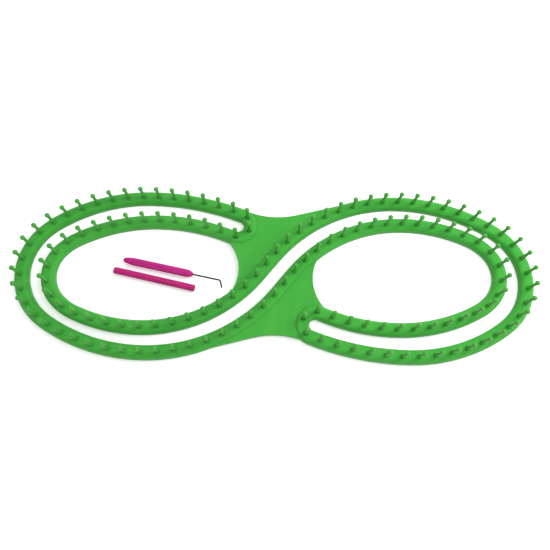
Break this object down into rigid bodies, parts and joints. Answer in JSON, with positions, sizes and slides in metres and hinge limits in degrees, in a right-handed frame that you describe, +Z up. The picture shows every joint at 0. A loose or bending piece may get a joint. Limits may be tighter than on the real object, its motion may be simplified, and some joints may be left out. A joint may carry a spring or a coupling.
{
  "type": "knitting loom",
  "caption": "Flat S-shaped knitting loom: a raised rail carries two facing rows of knobbed pegs round one long winding slot, with a bent-tip hook and a yarn guide tube.",
  "frame": {"origin": "middle of the crossing, halfway across the slot, on the frame's flat underside", "axes": "+X along the loom's length, +Y across it, +Z up the pegs"},
  "size_m": [0.6498, 0.22, 0.034],
  "materials": {
    "frame_plastic": "satin green moulded plastic",
    "peg_plastic": "satin green moulded plastic",
    "tube_plastic": "glossy magenta extruded plastic",
    "handle_plastic": "satin magenta moulded plastic",
    "hook_steel": "dark steel wire"
  },
  "bodies": {
    "loom": {"loom_frame": "frame_plastic", "pegs_row_a_01": "peg_plastic", "pegs_row_a_02": "peg_plastic", "pegs_row_a_03": "peg_plastic", "pegs_row_a_04": "peg_plastic", "pegs_row_a_05": "peg_plastic", "pegs_row_a_06": "peg_plastic", "pegs_row_a_07": "peg_plastic", "pegs_row_a_08": "peg_plastic", "pegs_row_a_09": "peg_plastic", "pegs_row_a_10": "peg_plastic", "pegs_row_a_11": "peg_plastic", "pegs_row_a_12": "peg_plastic", "pegs_row_a_13": "peg_plastic", "pegs_row_a_14": "peg_plastic", "pegs_row_a_15": "peg_plastic", "pegs_row_a_16": "peg_plastic", "pegs_row_a_17": "peg_plastic", "pegs_row_a_18": "peg_plastic", "pegs_row_a_19": "peg_plastic", "pegs_row_a_20": "peg_plastic", "pegs_row_a_21": "peg_plastic", "pegs_row_a_22": "peg_plastic", "pegs_row_a_23": "peg_plastic", "pegs_row_b_01": "peg_plastic", "pegs_row_b_02": "peg_plastic", "pegs_row_b_03": "peg_plastic", "pegs_row_b_04": "peg_plastic", "pegs_row_b_05": "peg_plastic", "pegs_row_b_06": "peg_plastic", "pegs_row_b_07": "peg_plastic", "pegs_row_b_08": "peg_plastic", "pegs_row_b_09": "peg_plastic", "pegs_row_b_10": "peg_plastic", "pegs_row_b_11": "peg_plastic", "pegs_row_b_12": "peg_plastic", "pegs_row_b_13": "peg_plastic", "pegs_row_b_14": "peg_plastic", "pegs_row_b_15": "peg_plastic", "pegs_row_b_16": "peg_plastic", "pegs_row_b_17": "peg_plastic", "pegs_row_b_18": "peg_plastic", "pegs_row_b_19": "peg_plastic", "pegs_row_b_20": "peg_plastic", "pegs_row_b_21": "peg_plastic", "pegs_row_b_22": "peg_plastic", "pegs_row_b_23": "peg_plastic"},
    "hook": {"hook_handle": "handle_plastic", "hook_wire": "hook_steel"},
    "yarn_guide": {"yarn_guide_tube": "tube_plastic"}
  },
  "joints": [
    {"name": "hook_lift", "type": "slide", "parent": "loom", "child": "hook", "axis": [0, 0, 1], "range_m": [0, 0.06]},
    {"name": "tube_lift", "type": "slide", "parent": "loom", "child": "yarn_guide", "axis": [0, 0, 1], "range_m": [0, 0.06]}
  ]
}
